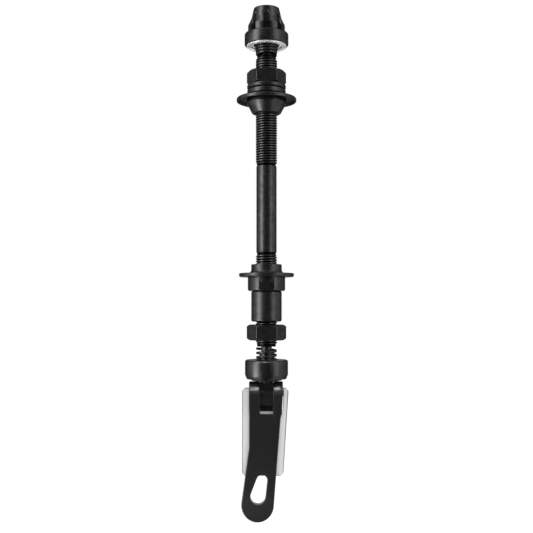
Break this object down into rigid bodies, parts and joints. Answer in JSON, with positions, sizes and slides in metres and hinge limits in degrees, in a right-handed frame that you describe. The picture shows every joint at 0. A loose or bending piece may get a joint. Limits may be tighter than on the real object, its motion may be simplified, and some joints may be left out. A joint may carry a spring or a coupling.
{
  "type": "quick release axle",
  "caption": "Hollow threaded hub axle with cones, dust caps and lock nuts, and a through skewer with a fluted adjusting nut, return springs and a cam lever.",
  "frame": {"origin": "centre of the upper lock nut's outer face, on the axle's line", "axes": "+Z along the axle towards the adjusting nut, -Y towards the lever's front face"},
  "size_m": [0.0278, 0.0278, 0.238],
  "materials": {
    "black_steel": "satin black",
    "dark_spring": "blackened wire",
    "black_collar": "black anodised",
    "black_saddle": "matte black",
    "dark_rod": "blackened",
    "black_lever": "satin black",
    "silver_plate": "satin, lightly brushed",
    "bright_steel": "bright",
    "black_knob": "black anodised"
  },
  "bodies": {
    "axle": {"hollow_axle": "black_steel", "upper_lock_nut": "black_steel", "upper_lock_washer": "black_steel", "upper_spacer_ring": "black_steel", "upper_cone": "black_steel", "upper_dust_cap": "black_steel", "lower_cone": "black_steel", "lower_dust_cap": "black_steel", "spacer_sleeve": "black_steel", "lower_lock_nut": "black_steel", "upper_spring": "dark_spring"},
    "spring": {"lower_spring": "dark_spring"},
    "collar": {"lever_collar": "black_collar", "cam_saddle": "black_saddle"},
    "rod": {"draw_rod": "dark_rod"},
    "lever": {"lever": "black_lever", "lever_plate": "silver_plate", "pivot_pin": "dark_rod"},
    "washer": {"serrated_washer": "bright_steel"},
    "nut": {"knob": "black_knob", "thread_insert": "bright_steel"}
  },
  "joints": [
    {"name": "skewer_spin", "type": "hinge", "parent": "axle", "child": "spring", "pos_m": [0, 0, 0], "axis": [0, 0, 1], "continuous": true},
    {"name": "skewer_float", "type": "slide", "parent": "spring", "child": "collar", "axis": [0, 0, 1], "range_m": [0, 0.0025], "stiffness_N_per_m": 400, "deforming": ["lower_spring"]},
    {"name": "rod_draw", "type": "slide", "parent": "collar", "child": "rod", "axis": [0, 0, -1], "range_m": [-0.001, 0.001], "deforming": ["upper_spring"]},
    {"name": "lever_throw", "type": "hinge", "parent": "rod", "child": "lever", "pos_m": [0, 0, -0.1496], "axis": [-1, 0, 0], "range_deg": [-90, 90]},
    {"name": "nut_advance", "type": "slide", "parent": "rod", "child": "washer", "axis": [0, 0, 1], "range_m": [0, 0.0048]},
    {"name": "nut_turn", "type": "hinge", "parent": "washer", "child": "nut", "pos_m": [0, 0, 0], "axis": [0, 0, 1], "range_deg": [0, 2160]}
  ],
  "couplings": [
    {"joint": "lever_throw", "follows": "rod_draw", "rad_per_m": 1570.8},
    {"joint": "nut_turn", "follows": "nut_advance", "rad_per_m": 7854}
  ]
}
